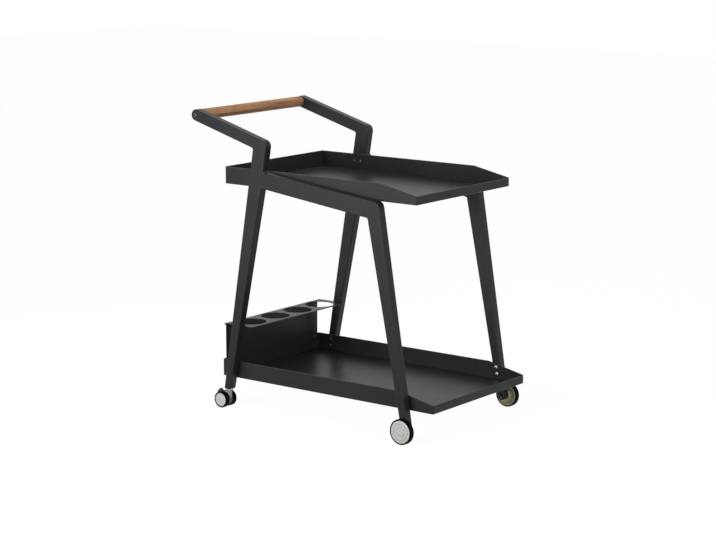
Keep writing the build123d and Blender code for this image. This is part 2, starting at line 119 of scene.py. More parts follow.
class CartFinishes(bpy.types.PropertyGroup):
    """Colours and gloss of the cart's materials."""

    coat: colour("Powder coat", "Charcoal of the frames and trays", 41, 43, 44)
    coat_light: colour("Powder coat, light patches", "Slightly lighter clouds in the coat", 47, 49, 50)
    # Painted highlight: a lighter colour along the sheets' rims, in place of the light that their rounded
    # edges catch
    coat_rim_highlight: colour("Powder coat, rims", "Thin coat on the cut edges of the sheets", 84, 86, 86)
    coat_roughness: share("Powder coat roughness", "Mean roughness of the coat", 0.36)
    coat_specular: share("Powder coat reflection", "How strongly the coat reflects", 0.15)
    wood_dark: colour("Teak pores", "Dark grain lines of the push bar", 100, 62, 38)
    wood_mid: colour("Teak", "Main colour of the push bar", 168, 121, 84)
    wood_light: colour("Teak sapwood", "Light grain of the push bar", 196, 150, 106)
    disc: colour("Wheel discs", "Light grey plastic of the front wheels' discs", 244, 245, 238)
    # Painted light: a paler copy of the disc plastic that brightens the low caster wheels
    caster_disc: colour("Caster discs", "Paler plastic of the casters' discs", 248, 248, 245)
    hub: colour("Wheel hubs", "Olive grey plastic behind the discs", 222, 215, 176)
    tread: colour("Tread", "Dark rubber of the tyres", 8, 8, 8)
    housing: colour("Caster plastic", "Grey housings of the casters", 190, 190, 184)
    # Also the painted shade in the beds of the front discs' lines
    pedal: colour("Pedal plastic", "Black brake pedals", 22, 22, 22)
    steel: colour("Steel", "Bright screws, washers and axles", 206, 206, 204)
    # Also painted shade: the colour of the screws that sit in shade and of the screws' sockets
    dark_steel: colour("Blackened steel", "Dark screws, bolts and nuts", 84, 85, 85)


class CartDetails(bpy.types.PropertyGroup):
    """Sizes of the small forms that the scene adds."""

    sheet: length("Sheet", "Thickness of the trays' sheet", 2.0)
    tray_slope: length("Tray slope", "Length of a tray's falling rim, back from its front", 125.0)
    tray_fall: length("Tray fall", "How far a tray's rim falls towards its front", 26.0)
    # Width of the painted highlight along a sheet's edge
    rim_highlight_band: length("Rim band", "Width of the thin coat along a sheet's edge", 1.6)
    tyre_round: length("Tyre shoulder", "Rounding of a tyre's shoulders", 2.0)
    tread_groove: length("Tread groove", "Depth of the two lines round a tyre", 0.5)
    tread_place: share("Tread lines", "Place of a tyre's lines, as a share of its width", 0.34)
    disc_edge: length("Disc edge", "Rounding of a disc's rim", 0.5)
    disc_cap: length("Disc cap", "Radius of the raised middle of a front disc", 13.5)
    disc_cap_rise: length("Disc cap rise", "How far a front disc's cap stands out", 1.2)
    disc_ring: length("Disc ring", "Radius of the line round a front disc", 24.5)
    disc_groove: length("Disc groove", "Depth of the two lines round a front disc", 0.45)
    disc_dimple: length("Disc dimple", "Radius of the shallow dimple in a cap", 5.0)
    hub_boss: length("Hub boss", "Radius of a front hub's boss", 12.0)
    hub_bore: length("Hub bore", "Radius of the bush in a front hub", 6.05)
    hub_rim: length("Hub rim", "Thickness of a front hub's rim", 4.5)
    hub_web: length("Hub web", "Thickness of a front hub's web", 4.0)
    hub_boss_gap: length("Hub boss gap", "From the end of a hub's boss to its disc", 4.6)
    caster_dish: length("Caster dish", "Depth of the dish inside a caster wheel", 5.0)
    caster_rim: length("Caster rim", "Width of the rim round a caster wheel", 3.0)
    caster_cap: length("Caster cap", "Radius of a caster wheel's cap", 8.5)
    caster_recess: length("Caster recess", "Depth of the ring between rim and cap", 0.8)
    caster_bore: length("Caster bore", "Radius of a caster wheel's bore", 3.05)
    caster_bore_end: length("Caster bore end", "Plastic left outside the bore", 3.0)
    cheek: length("Caster cheek", "Thickness of each side of a caster's housing", 2.2)
    cheek_round: length("Cheek edge", "Rounding of the housing's edges", 1.0)
    axle_boss: length("Axle boss", "Radius of a housing round its axle", 9.0)
    shoulder_drop: length("Shoulder drop", "From a housing's top down to its cheeks", 1.8)
    neck_length: length("Neck length", "From a housing's top down to the foot of its neck", 26.0)
    neck_radius: length("Neck radius", "Radius of a housing's neck under its collar", 6.5)
    swivel_bore: length("Swivel bore", "Radius of the swivel's bore in a housing", 4.05)
    collar: length("Collar", "Height of the collar on a housing's top", 3.6)
    pedal_eye: length("Pedal eye", "Radius of a brake pedal round its pin", 4.0)
    pedal_nose: length("Pedal nose", "From a pedal's pin up to its front corner", 7.0)
    pedal_peak_back: length("Pedal peak, back", "From a pedal's pin back to its peak", 6.6)
    pedal_peak_up: length("Pedal peak, up", "From a pedal's pin up to its peak", 16.6)
    pedal_tail_back: length("Pedal tail, back", "From a pedal's pin back to its tail", 19.5)
    pedal_tail_up: length("Pedal tail, up", "From a pedal's pin up to its tail", 3.5)
    pedal_round: length("Pedal corners", "Rounding of a pedal's eye and peak", 3.0)
    pedal_tight_round: length("Pedal tight corners", "Rounding of a pedal's nose and tail", 1.5)
    pedal_edge: length("Pedal edge", "Rounding of a pedal's edges", 1.0)
    pedal_grip: length("Pedal grip", "Height of the ridges on a brake pedal", 0.7)
    ridge_width: length("Ridge width", "Width of a ridge on a brake pedal", 1.4)
    ridge_round: length("Ridge edge", "Rounding of a ridge's edges", 0.3)
    ridge_length: share("Ridge length", "Length of a ridge, as a share of the pedal's width", 0.85)
    head_height: length("Screw head", "Height of a tray screw's head", 3.2)
    head_radius: length("Screw head radius", "Radius of a tray screw's head", 5.5)
    bolt_head_height: length("Bolt head", "Height of a push bar bolt's head", 3.6)
    socket: length("Socket", "Half the width of a screw's hexagon socket", 2.0)
    socket_depth: length("Socket depth", "Depth of a screw's hexagon socket", 1.8)
    nut_height: length("Axle nut", "Height of an axle nut", 7.0)
    nut_edge: length("Axle nut edge", "Rounding of an axle nut's inner end", 1.0)
    turns: IntProperty(name="Turned steps", description="Flat steps round a wheel", default=96, min=12)


class CartStage(bpy.types.PropertyGroup):
    """Camera and lamps."""

    target: FloatVectorProperty(name="Camera target", description="Point in the middle of the picture",
                                subtype="XYZ", unit="LENGTH", default=(-0.0088, 0.0, 0.4216))
    distance: length("Camera distance", "From the target to the camera", 6175.0)
    azimuth: angle("Azimuth", "Turn of the camera round the cart", 37.41)
    elevation: angle("Elevation", "Height of the camera above the horizon", 10.75)
    lens: FloatProperty(name="Lens", description="Focal length in millimetres", unit="CAMERA",
                        default=103.05)
    key: watts("Key lamp", "Large soft lamp on the right side, in watts", 7.0)
    fill: watts("Fill lamp", "Large soft lamp low in front, in watts", 26.0)
    handle: watts("Handle lamp", "Narrow lamp high above the cart, aimed at the push bar, in watts", 0.86)
    wheels: watts("Wheel lamp", "Long lamp near the floor on the right, in watts", 0.3)
    ambient: share("Ambient light", "Even light from all round", 0.14)
    floor_shade: share("Floor", "How strongly the floor shows the cart's shadow", 0.16)
    floor_glow: share("Floor glow", "How white the floor looks where no lamp reaches it", 0.965)


class Field:
    """A socket of a material's node tree. Arithmetic on it adds Math nodes."""

    def __init__(self, finish, socket):
        self.finish = finish
        self.socket = socket

    def math(self, operation, first, second):
        """A Math node on two values or fields."""
        return self.finish.node("ShaderNodeMath", {"operation": operation}, {0: first, 1: second})

    def __add__(self, other):
        return self.math("ADD", self, other)

    def __radd__(self, other):
        return self.math("ADD", other, self)

    def __sub__(self, other):
        return self.math("SUBTRACT", self, other)

    def __rsub__(self, other):
        return self.math("SUBTRACT", other, self)

    def __mul__(self, other):
        return self.math("MULTIPLY", self, other)

    def __rmul__(self, other):
        return self.math("MULTIPLY", other, self)


class Finish:
    """One procedural material, built on the Principled shader."""

    def __init__(self, name):
        self.material = bpy.data.materials.new(name)
        self.material.use_nodes = True
        self.tree = self.material.node_tree
        self.shader = self.tree.nodes["Principled BSDF"]

    def node(self, kind, settings=None, inputs=None, output=0):
        """Adds a node with its settings, then its sockets' values or links, and gives one output."""
        made = self.tree.nodes.new(kind)
        for key, value in (settings or {}).items():
            if key == "stops":
                self.set_stops(made.color_ramp, value)
            else:
                setattr(made, key, value)
        for key, value in (inputs or {}).items():
            self.feed(made.inputs[key], value)
        return Field(self, made.outputs[output])

    def set_stops(self, ramp, stops):
        """Places a colour ramp's stops."""
        while len(ramp.elements) < len(stops):
            ramp.elements.new(0.5)
        for element, (place, tint) in zip(ramp.elements, stops):
            element.position = place
            element.color = (*tint, 1.0)

    def feed(self, socket, value):
        """Links a field to a socket, or sets the socket's own value."""
        if isinstance(value, Field):
            self.tree.links.new(value.socket, socket)
        elif hasattr(value, "__len__") and socket.type == "RGBA":
            socket.default_value = (*value, 1.0)
        else:
            socket.default_value = value

    def surface(self, **values):
        """Feeds the shader's sockets, named with underscores for spaces."""
        for key, value in values.items():
            self.feed(self.shader.inputs[key.replace("_", " ")], value)
        return self.material

    def place(self):
        """The point on the object, in metres."""
        return self.node("ShaderNodeTexCoord", output="Object")

    def stretched(self, place, scale):
        """A place with its axes scaled, for grain that runs one way."""
        return self.node("ShaderNodeMapping", {}, {"Vector": place, "Scale": scale})

    def axis(self, place, letter):
        """One coordinate of a place."""
        return self.node("ShaderNodeSeparateXYZ", {}, {0: place}, output=letter)

    def ramp(self, value, start, stop, low=0.0, high=1.0):
        """Runs from low to high while a value runs from start to stop, and stays there beyond them."""
        return self.node("ShaderNodeMapRange", {}, {"Value": value, "From Min": start, "From Max": stop,
                                                    "To Min": low, "To Max": high})

    def noise(self, place, scale, detail=2.0, roughness=0.5):
        """Soft noise from 0 to 1; scale is in features for each metre."""
        return self.node("ShaderNodeTexNoise", {},
                         {"Vector": place, "Scale": scale, "Detail": detail, "Roughness": roughness})

    def swing(self, noise, width):
        """A noise from 0 to 1 made to swing about nothing, this wide."""
        return (noise - 0.5) * width

    def blend(self, factor, first, second):
        """A mix of two colours."""
        return self.node("ShaderNodeMix", {"data_type": "RGBA"}, {0: factor, 6: first, 7: second}, output=2)

    def bump(self, height, strength, distance):
        """A bumped normal."""
        return self.node("ShaderNodeBump", {},
                         {"Height": height, "Strength": strength, "Distance": distance})


def finishes():
    """The user's colours."""
    return bpy.context.scene.cart_finishes


def details():
    """The user's sizes of small forms."""
    return bpy.context.scene.cart_details


def kept(make):
    """The material that a function makes, made the first time it is asked for."""
    name = f"cart_{make.__name__}"
    return bpy.data.materials.get(name) or make(Finish(name))


def dimmed(tint, keep):
    """A colour of which only a share of the light is kept."""
    return tuple(c * keep for c in tint)


def powder_coat(finish, rim=0.0):
    """Charcoal powder coat: faint clouds of tone, the fine peel of a baked coat, and a painted highlight on
    its rims.
    """
    look = finishes()
    place = finish.place()
    clouds = finish.noise(place, scale=7.0, detail=3.0)
    peel = finish.noise(place, scale=1100.0)
    tone = finish.blend(clouds, tuple(look.coat), tuple(look.coat_light))
    return finish.surface(
        # Painted highlight where the rim mask is high
        Base_Color=finish.blend(rim, tone, tuple(look.coat_rim_highlight)),
        Roughness=look.coat_roughness + finish.swing(clouds, width=0.16) + finish.swing(peel, width=0.06),
        Specular_IOR_Level=look.coat_specular,
        Normal=finish.bump(peel, strength=0.12, distance=0.0004),
    )


def tray_coat(finish, node):
    """A tray's coat with a painted highlight along its rim, which falls towards the front."""
    size = details()
    front, _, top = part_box(node)[1]
    place = finish.place()
    rim = finish.ramp(finish.axis(place, "X"), front - size.tray_slope, front, top, top - size.tray_fall)
    above = finish.axis(place, "Z") - rim
    return powder_coat(finish, finish.ramp(above, -size.rim_highlight_band, -size.rim_highlight_band / 2))


def upper_tray_coat(finish):
    """Powder coat of the upper tray."""
    return tray_coat(finish, "upper_tray")


def lower_tray_coat(finish):
    """Powder coat of the lower tray."""
    return tray_coat(finish, "lower_tray")


def rack_coat(finish):
    """Powder coat of the bottle rack, with a painted highlight along its plate's front edge."""
    band = details().rim_highlight_band
    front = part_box("bottle_rack")[1][0]
    along = finish.axis(finish.place(), "X")
    return powder_coat(finish, finish.ramp(along, front - band, front - band / 2))


def teak(finish):
    """Oiled teak: long dark pores and slow bands of colour along the bar."""
    look = finishes()
    place = finish.place()
    lengthwise, band_share, pore_share, patch_share = 0.045, 0.52, 0.30, 0.18
    dark_at, mid_at, light_at = 0.34, 0.50, 0.68
    dull, pore_gloss = 0.60, 0.2
    along_bar = finish.stretched(place, (1.0, lengthwise, 1.0))
    bands = finish.noise(along_bar, scale=90.0, detail=3.0, roughness=0.6)
    pores = finish.noise(along_bar, scale=620.0, roughness=0.6)
    patches = finish.noise(place, scale=14.0)
    tone = bands * band_share + pores * pore_share + patches * patch_share
    stops = [(dark_at, tuple(look.wood_dark)), (mid_at, tuple(look.wood_mid)),
             (light_at, tuple(look.wood_light))]
    return finish.surface(
        Base_Color=finish.node("ShaderNodeValToRGB", {"stops": stops}, {0: tone}),
        Roughness=dull - pore_gloss * pores,
        Specular_IOR_Level=0.35,
        Normal=finish.bump(pores, strength=0.25, distance=0.0005),
    )


def speckled(finish, tint, roughness, grain=MOULD_GRAIN, depth=MOULD_DEPTH, gloss=0.5, shine=0.0):
    """A moulded plastic or rubber with a little tone variation and a fine grain."""
    place = finish.place()
    clouds = finish.noise(place, scale=30.0)
    speck = finish.noise(place, scale=grain)
    return finish.surface(
        Base_Color=finish.blend(clouds, dimmed(tint, keep=0.86), tuple(tint)),
        Roughness=roughness + finish.swing(speck, width=0.15),
        Specular_IOR_Level=gloss,
        Coat_Weight=shine,
        Normal=finish.bump(speck, strength=0.15, distance=depth),
    )


def disc_plastic(finish):
    """Light grey plastic of the front wheels' discs."""
    return speckled(finish, finishes().disc, roughness=0.42, gloss=1.0, shine=0.6)


def caster_disc_painted_light_plastic(finish):
    """The wheel discs' plastic made paler for the casters, as painted light on the low wheels."""
    return speckled(finish, finishes().caster_disc, roughness=0.42, gloss=1.0, shine=1.0)


def hub_plastic(finish):
    """Olive grey plastic of the front hubs."""
    return speckled(finish, finishes().hub, roughness=0.5)


def tread_rubber(finish):
    """Dark, slightly dusty rubber."""
    return speckled(finish, finishes().tread, roughness=0.66, grain=700.0, depth=0.0004, gloss=0.06)


def housing_plastic(finish):
    """Grey plastic of the caster housings."""
    return speckled(finish, finishes().housing, roughness=0.36)


def pedal_plastic_and_groove_shade(finish):
    """Black plastic of the brake pedals, also used as painted shade in the beds of the front discs' lines.
    """
    return speckled(finish, finishes().pedal, roughness=0.45, depth=0.0003)


def streaked(finish, tint, roughness):
    """Metal with faint streaks of gloss and tone."""
    lengthwise, streak_gloss = 0.3, 0.16
    place = finish.stretched(finish.place(), (1.0, lengthwise, 1.0))
    streaks = finish.noise(place, scale=800.0)
    return finish.surface(
        Base_Color=finish.blend(streaks, dimmed(tint, keep=0.8), tuple(tint)),
        Metallic=1.0,
        Roughness=roughness + streak_gloss * streaks,
    )


def satin_steel(finish):
    """Bright zinc-plated steel."""
    return streaked(finish, finishes().steel, roughness=0.4)


def blackened_and_shaded_steel(finish):
    """Dark steel: blackened bolts and nuts, and painted shade on the screws that sit in shade and in the
    screws' sockets.
    """
    return streaked(finish, finishes().dark_steel, roughness=0.42)


class Shape:
    """A mesh under construction."""

    def __init__(self):
        self.mesh = bmesh.new()

    def join(self, other):
        """Takes over another shape's mesh."""
        other.tidy()
        carrier = bpy.data.meshes.new("carrier")
        other.mesh.to_mesh(carrier)
        other.mesh.free()
        self.mesh.from_mesh(carrier)
        bpy.data.meshes.remove(carrier)

    def turn(self, profile, centre, outwards, steps=None):
        """Turns a closed profile of (radius, distance outwards from the centre) round an axis."""
        centre, outwards = Vector(centre), Vector(outwards)
        radial = outwards.orthogonal().normalized()
        points = [self.mesh.verts.new(centre + radial * radius + outwards * out) for radius, out in profile]
        loop = [self.mesh.edges.new(ends) for ends in zip(points, points[1:] + points[:1])]
        bmesh.ops.spin(self.mesh, geom=points + loop, cent=centre, axis=outwards, dvec=(0, 0, 0),
                       angle=math.tau, steps=steps or details().turns, use_merge=True)
        self.tidy()
        return self

    def plate(self, outline, low, high):
        """A flat piece between two heights along Y, from an outline of (x, z)."""
        face = self.mesh.faces.new([self.mesh.verts.new((x, low, z)) for x, z in outline])
        grown = bmesh.ops.extrude_face_region(self.mesh, geom=[face])["geom"]
        bmesh.ops.translate(self.mesh, vec=(0, high - low, 0),
                            verts=[item for item in grown if isinstance(item, bmesh.types.BMVert)])
        return self

    def edges_at(self, height):
        """The edges that lie at a height along Y."""
        return [e for e in self.mesh.edges if all(abs(v.co.y - height) < HAIR for v in e.verts)]

    def edges_through(self, x, z):
        """The edges that run along Y through a point (x, z)."""
        return [e for e in self.mesh.edges
                if all(abs(v.co.x - x) < HAIR and abs(v.co.z - z) < HAIR for v in e.verts)]

    def round(self, edges, radius, segments=3):
        """Rounds edges."""
        bmesh.ops.bevel(self.mesh, geom=edges, offset=radius, offset_type="OFFSET", segments=segments,
                        profile=0.5, affect="EDGES", clamp_overlap=True, material=-1)

    def tidy(self):
        """Closes poles and turns the faces outwards."""
        bmesh.ops.remove_doubles(self.mesh, verts=self.mesh.verts[:], dist=HAIR)
        bmesh.ops.recalc_face_normals(self.mesh, faces=self.mesh.faces[:])

    def piece(self, name, body, slot, materials, *nodes):
        """Makes the mesh an object that rides on a body and stands for CAD nodes."""
        for face in self.mesh.faces:
            face.smooth = True
        data = bpy.data.meshes.new(name)
        self.mesh.to_mesh(data)
        self.mesh.free()
        data.set_sharp_from_angle(angle=SHARP)
        for material in materials:
            data.materials.append(material)
        made = bpy.data.objects.new(name, data)
        bpy.context.scene.collection.objects.link(made)
        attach(made, body)
        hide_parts(*nodes)
        return made


def middle(node):
    """The middle of a CAD node's box."""
    low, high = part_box(node)
    return (Vector(low) + Vector(high)) / 2


def reach(node):
    """The size of a CAD node's box."""
    low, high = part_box(node)
    return Vector(high) - Vector(low)


def wheel_start(node, facing):
    """The point on a wheel's axis at its inner side, for a wheel whose disc faces +Y or -Y."""
    return middle(node) - Vector((0, facing * reach(node).y / 2, 0))


def eased(radius, height, edge):
    """Three points of a turned profile, round an outer corner."""
    return [(radius, height - edge), (radius - edge * EASE, height - edge * EASE), (radius - edge, height)]


def tyre_profile(radius, seat, width):
    """A tyre's section: rounded shoulders and two fine lines round the tread."""
    size = details()
    rounding, groove, steps = size.tyre_round, size.tread_groove, 6
    turns = [math.pi / 2 * step / steps for step in range(steps + 1)]
    shoulder = [(radius - rounding + rounding * math.sin(a), rounding - rounding * math.cos(a))
                for a in turns]
    line = width * size.tread_place
    tread = [(radius, line - groove), (radius - groove, line), (radius, line + groove)]
    half = [(seat, 0.0), *shoulder, *tread]
    return half + [(r, width - out) for r, out in reversed(half)]


def make_tyre(node, wheel, facing, body):
    """A tyre that sits on its wheel."""
    profile = tyre_profile(reach(node).z / 2, reach(wheel).z / 2, reach(node).y)
    shape = Shape().turn(profile, wheel_start(node, facing), (0, facing, 0))
    shape.piece(f"tyre_{body}", body, "tread", [kept(tread_rubber)], node)


def coat(material, *names):
    """Gives CAD nodes a material."""
    for name in names:
        shape = NODES[name]
        shape.data.materials.clear()
        shape.data.materials.append(material)


def pair(name):
    """A name with each side's ending."""
    return [f"{name}_{side}" for side in SIDES]


class CART_OT_side_frames(bpy.types.Operator):
    """Coat the legs, rails, arms and tray brackets"""

    bl_idname = "cart.side_frames"
    bl_label = "Side Frames"

    def execute(self, context):
        for name in ("rear_leg", "front_leg", "top_rail", "handle_arm", "tray_support"):
            coat(kept(powder_coat), *pair(name))
        return {"FINISHED"}


class CART_OT_trays(bpy.types.Operator):
    """Coat both trays and the bottle rack"""

    bl_idname = "cart.trays"
    bl_label = "Trays and Bottle Rack"

    def execute(self, context):
        coat(kept(upper_tray_coat), "upper_tray")
        coat(kept(lower_tray_coat), "lower_tray")
        coat(kept(rack_coat), "bottle_rack")
        return {"FINISHED"}


class CART_OT_push_bar(bpy.types.Operator):
    """Dress the wooden push bar"""

    bl_idname = "cart.push_bar"
    bl_label = "Push Bar"

    def execute(self, context):
        coat(kept(teak), "push_bar")
        return {"FINISHED"}


class CART_OT_front_wheels(bpy.types.Operator):
    """Turn the front tyres, hubs and ringed discs"""

    bl_idname = "cart.front_wheels"
    bl_label = "Front Wheels"

    def execute(self, context):
        for side, facing in SIDES.items():
            body = f"front_wheel_{side}"
            make_tyre(f"front_wheel_tyre_{side}", f"front_wheel_hub_{side}", facing, body)
            front_hub(f"front_wheel_hub_{side}", facing, body)
            front_disc(f"front_wheel_cover_{side}", facing, body)
            coat(kept(hub_plastic), f"front_wheel_bush_{side}")
        return {"FINISHED"}


def front_hub(node, facing, body):
    """A front hub: boss, web and rim, open towards the leg."""
    size = details()
    outer, width = reach(node).z / 2, reach(node).y
    bed, top = outer - size.hub_rim, width - size.hub_boss_gap
    web = top - size.hub_web
    profile = [(size.hub_bore, 0), (size.hub_boss, 0), (size.hub_boss, web), (bed, web), (bed, 0),
               (outer, 0), (outer, width), (bed, width), (bed, top), (size.hub_bore, top)]
    shape = Shape().turn(profile, wheel_start(node, facing), (0, facing, 0))
    shape.piece(f"hub_{body}", body, "hub_plastic", [kept(hub_plastic)], node)


def front_disc(node, facing, body):
    """A front wheel's disc: a line near its rim, and a raised cap with a line round it and a dimple."""
    size = details()
    outer, high = reach(node).z / 2, reach(node).y
    edge, cap, ring, dimple = size.disc_edge, size.disc_cap, size.disc_ring, size.disc_dimple
    flat = high - size.disc_cap_rise
    bed, start = flat - size.disc_groove, wheel_start(node, facing)
    rim_line = [(ring + edge, flat), (ring + edge / 2, bed), (ring - edge / 2, bed), (ring - edge, flat)]
    cap_line = [(cap + 2 * edge, flat), (cap + edge, bed), (cap, bed)]
    hollow = [(dimple + edge, high), (dimple, high - edge), (0, high - edge)]
    profile = [(0, 0), (outer, 0), *eased(outer, flat, edge), *rim_line, *cap_line,
               *eased(cap, high, edge), *hollow]
    shape = Shape().turn(profile, start, (0, facing, 0))
    # Painted shade: the beds of the disc's lines take the black pedal plastic
    for face in shape.mesh.faces:
        if all(abs((v.co.y - start.y) * facing - bed) < HAIR for v in face.verts):
            face.material_index = PAINTED_SHADE_INDEX
    shape.piece(f"disc_{body}", body, "wheel_plastic", [kept(disc_plastic), kept(pedal_plastic_and_groove_shade)], node)


class CART_OT_casters(bpy.types.Operator):
    """Turn the caster wheels and build their housings"""

    bl_idname = "cart.casters"
    bl_label = "Casters"

    def execute(self, context):
        for side, outwards in SIDES.items():
            for word, facing in (("outer", outwards), ("inner", -outwards)):
                body = f"caster_wheel_{side}_{word}"
                wheel, tyre = f"caster_{word}_wheel_{side}", f"caster_{word}_tyre_{side}"
                make_tyre(tyre, wheel, facing, body)
                caster_disc(wheel, facing, body)
            caster_housing(side)
        return {"FINISHED"}


def caster_disc(node, facing, body):
    """A caster wheel: a dish towards its twin, and a rim, a ring and a cap outside."""
    size = details()
    outer, width = reach(node).z / 2, reach(node).y
    rim, cap, bore = outer - size.caster_rim, size.caster_cap, size.caster_bore
    ring, blind = width - size.caster_recess, width - size.caster_bore_end
    dish, edge = size.caster_dish, size.disc_edge
    inside = [(0, blind), (bore, blind), (bore, 0), (cap, 0), (cap, dish), (rim, dish), (rim, 0),
              (outer, 0)]
    outside = [*eased(outer, width, edge), (rim + edge, width), (rim, ring), (cap + edge, ring),
               (cap, width - edge * EASE), (cap - edge, width), (0, width)]
    shape = Shape().turn(inside + outside, wheel_start(node, facing), (0, facing, 0))
    shape.piece(f"disc_{body}", body, "wheel_plastic", [kept(caster_disc_painted_light_plastic)], node)


def caster_housing(side):
    """A caster's housing: cheeks and core, and the swivel's neck."""
    node = f"caster_housing_{side}"
    shape = housing_cheeks(side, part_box(node)[1][2])
    shape.join(housing_neck(side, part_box(node)[1][2], reach(node).y / 2))
    shape.piece(f"housing_{side}", f"caster_{side}", "grey_plastic", [kept(housing_plastic)], node)


def housing_cheeks(side, top):
    """Two rounded cheeks with the pedal between them, and a core that leaves a slot for the pedal."""
    size = details()
    held = ("caster_axle", "brake_pedal_pin", "caster_stem")
    axle, pivot, stem = [middle(f"{name}_{side}") for name in held]
    half = reach(f"brake_pedal_pin_{side}").y / 2
    eye, boss = size.pedal_eye, size.axle_boss
    corner, slot_room = 0.7 * boss, 1.5 * eye
    front, shoulder = stem.x + boss / 2, top - size.shoulder_drop
    lower = [(axle.x - boss, axle.z), (axle.x - corner, axle.z - corner), (axle.x, axle.z - boss),
             (axle.x + boss, axle.z - boss / 2), (front, top - size.neck_length), (front, shoulder)]
    cheek = [(stem.x - boss, shoulder), (pivot.x + eye, pivot.z + eye), (pivot.x - eye, pivot.z + eye),
             (pivot.x - eye, pivot.z - eye), *lower]
    slot_front, slot_floor = pivot.x + slot_room, pivot.z - 2 * eye
    core = [(stem.x - boss, shoulder), (slot_front, pivot.z + slot_room), (slot_front, slot_floor),
            (axle.x - boss, slot_floor), *lower]
    shape = Shape()
    for facing in SIDES.values():
        outside = axle.y + facing * half
        plate = Shape().plate(cheek, outside - facing * size.cheek, outside)
        plate.round(plate.edges_at(outside), size.cheek_round)
        shape.join(plate)
    shape.join(Shape().plate(core, axle.y - half + size.cheek / 2, axle.y + half - size.cheek / 2))
    return shape


def housing_neck(side, top, wide):
    """The neck of a housing, with a collar on top, turned round the swivel."""
    size = details()
    stem = middle(f"caster_stem_{side}")
    neck, bore, roof, edge = size.neck_radius, size.swivel_bore, size.neck_length, size.cheek_round
    ledge = roof - size.collar
    profile = [(bore, 0.0), (neck, 0.0), (neck, ledge), (wide - edge, ledge), (wide, ledge + edge),
               *eased(wide, roof, edge), (bore, roof)]
    return Shape().turn(profile, (stem.x, stem.y, top - roof), (0, 0, 1), steps=48)


class CART_OT_brake_pedals(bpy.types.Operator):
    """Build the brake pedals' fins with their grip ridges"""

    bl_idname = "cart.brake_pedals"
    bl_label = "Brake Pedals"

    def execute(self, context):
        for side in SIDES:
            brake_pedal(side)
        return {"FINISHED"}


def brake_pedal(side):
    """A pedal: a rounded fin that leans back from its pivot, with ridges where the foot presses."""
    size = details()
    node = f"brake_pedal_{side}"
    pivot = middle(f"brake_pedal_pin_{side}")
    width = reach(node).y
    low, high = pivot.y - width / 2, pivot.y + width / 2
    peak = (pivot.x - size.pedal_peak_back, pivot.z + size.pedal_peak_up)
    tail = (pivot.x - size.pedal_tail_back, pivot.z + size.pedal_tail_up)
    nose = pivot.x + size.pedal_eye
    wide, tight = size.pedal_round, size.pedal_tight_round
    corners = {(nose, pivot.z): wide, (nose, pivot.z + size.pedal_nose): tight, peak: wide, tail: tight,
               (pivot.x, pivot.z - size.pedal_eye): wide}
    fin = Shape().plate(list(corners), low, high)
    for corner, radius in corners.items():
        fin.round(fin.edges_through(*corner), radius, segments=5)
    fin.round(fin.edges_at(low) + fin.edges_at(high), size.pedal_edge)
    shape = Shape()
    shape.join(fin)
    run, rise = peak[0] - tail[0], peak[1] - tail[1]
    lean = Matrix.Rotation(-math.atan2(rise, run), 4, "Y")
    extent = Matrix.Diagonal((size.ridge_width, size.ridge_length * width, 2 * size.pedal_grip, 1.0))
    for step in RIDGES:
        spot = Matrix.Translation((tail[0] + run * step, pivot.y, tail[1] + rise * step))
        ridge = Shape()
        bmesh.ops.create_cube(ridge.mesh, size=1.0, matrix=spot @ lean @ extent)
        ridge.round(ridge.mesh.edges[:], size.ridge_round, segments=2)
        shape.join(ridge)
    shape.piece(f"pedal_{side}", f"brake_{side}", "black_plastic", [kept(pedal_plastic_and_groove_shade)], node)


class CART_OT_screws(bpy.types.Operator):
    """Build the domed screw heads with their hexagon sockets"""

    bl_idname = "cart.screws"
    bl_label = "Screws"

    def execute(self, context):
        size = details()
        radius, height = size.head_radius, size.head_height
        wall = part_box("lower_tray")[1][1] - size.sheet
        # Painted shade: only the front pair is bright steel; the rear and upper screws are dark because
        # they sit in shade
        for node, material, leans_back in (("lower_tray_front_screws", satin_steel, True),
                                           ("lower_tray_rear_screws", blackened_and_shaded_steel, False),
                                           ("upper_tray_screws", blackened_and_shaded_steel, False)):
            low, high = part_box(node)
            along, upright = [(low[axis] + radius, high[axis] - radius) for axis in (0, 2)]
            spots = list(zip(reversed(along) if leans_back else along, upright))
            heads = [((x, y * wall, z), (0, -y, 0)) for y in SIDES.values() for x, z in spots]
            screw_heads(node, heads, radius, height, material)
        # Painted shade: the rack's screws are dark steel because they sit in shade
        low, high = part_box("bottle_rack_screws")
        back, across, up = high[0] - height, high[1] - radius, (low[2] + high[2]) / 2
        heads = [((back, y * across, up), (1, 0, 0)) for y in SIDES.values()]
        screw_heads("bottle_rack_screws", heads, radius, height, blackened_and_shaded_steel)
        low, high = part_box("push_bar_bolts")
        spot, across = middle("push_bar_bolts"), high[1] - size.bolt_head_height
        heads = [((spot.x, y * across, spot.z), (0, y, 0)) for y in SIDES.values()]
        screw_heads("push_bar_bolts", heads, (high[2] - low[2]) / 2, size.bolt_head_height, blackened_and_shaded_steel)
        return {"FINISHED"}


def screw_heads(node, heads, radius, height, material):
    """One piece with all the heads of a CAD node; each head stands at a point and faces a way."""
    shape = Shape()
    for spot, facing in heads:
        shape.join(button_head(spot, facing, radius, height))
    # The second material is the painted shade in the sockets
    shape.piece(node.replace("screws", "heads").replace("bolts", "bolt_heads"), "frame", SLOTS[node],
                [kept(material), kept(blackened_and_shaded_steel)], node)


